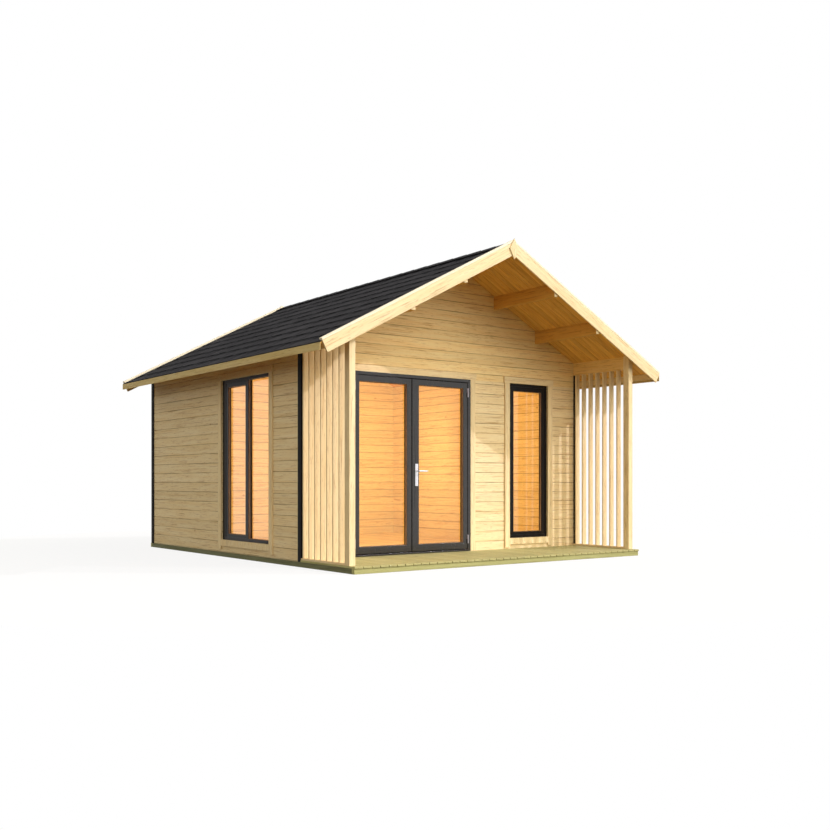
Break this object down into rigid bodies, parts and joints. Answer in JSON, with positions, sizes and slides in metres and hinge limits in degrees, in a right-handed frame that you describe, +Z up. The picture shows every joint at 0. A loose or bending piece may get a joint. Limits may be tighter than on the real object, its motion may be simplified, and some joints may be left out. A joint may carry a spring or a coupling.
{
  "type": "garden shed",
  "caption": "Timber garden house with a shingled gable roof reaching over a slatted front porch, glazed doors that swing outwards and tall fixed windows.",
  "frame": {"origin": "ground level under the middle of the part's box", "axes": "+Z up, +Y from the porch towards the back wall, +X to the right as seen from the porch"},
  "size_m": [4.792, 5.052, 3.4655],
  "materials": {
    "pine": "planed, untreated",
    "treated_pine": "pressure treated",
    "roof_shingle": "mineral bitumen",
    "dark_frame": "satin dark grey paint",
    "black_trim": "satin black paint",
    "pane": "clear",
    "steel": "brushed"
  },
  "bodies": {
    "house": {"base_bearers": "treated_pine", "base_rims": "treated_pine", "floor": "pine", "porch_deck": "treated_pine", "front_wall_left": "pine", "front_wall_right": "pine", "front_gable": "pine", "left_wall": "pine", "right_wall": "pine", "back_wall": "pine", "corner_trims": "black_trim", "porch_posts": "pine", "porch_beams": "pine", "screen_fins": "pine", "screen_rails": "pine", "purlins": "pine", "roof_boards_left": "pine", "roof_boards_right": "pine", "shingles_left": "roof_shingle", "shingles_right": "roof_shingle", "ridge_cap": "roof_shingle", "eaves_boards": "pine", "bargeboards_left": "pine", "bargeboards_right": "pine", "verge_strips_left": "pine", "verge_strips_right": "pine", "peak_covers": "pine", "door_jambs": "dark_frame", "door_head": "dark_frame", "door_threshold": "dark_frame", "door_casing": "pine", "door_hinge_pins": "steel", "front_window_frame": "dark_frame", "side_window_frame": "dark_frame", "window_sashes": "dark_frame", "window_glass": "pane", "window_casings": "pine"},
    "left_door": {"left_leaf": "dark_frame", "left_leaf_glass": "pane", "left_leaf_hinges": "steel"},
    "right_door": {"right_leaf": "dark_frame", "right_leaf_glass": "pane", "right_leaf_hinges": "steel", "handle_plates": "steel"},
    "lever": {"lever_handle": "steel"}
  },
  "joints": [
    {"name": "left_door_hinge", "type": "hinge", "parent": "house", "child": "left_door", "pos_m": [-1.367, -1.5175, 1.05], "axis": [0, 0, -1], "range_deg": [0, 110]},
    {"name": "right_door_hinge", "type": "hinge", "parent": "house", "child": "right_door", "pos_m": [0.201, -1.5175, 1.05], "axis": [0, 0, 1], "range_deg": [0, 110]},
    {"name": "lever_turn", "type": "hinge", "parent": "right_door", "child": "lever", "pos_m": [-0.539, -1.479, 0.995], "axis": [0, 1, 0], "range_deg": [0, 40], "stiffness_Nm_per_rad": 2, "springref_deg": -17.19}
  ]
}
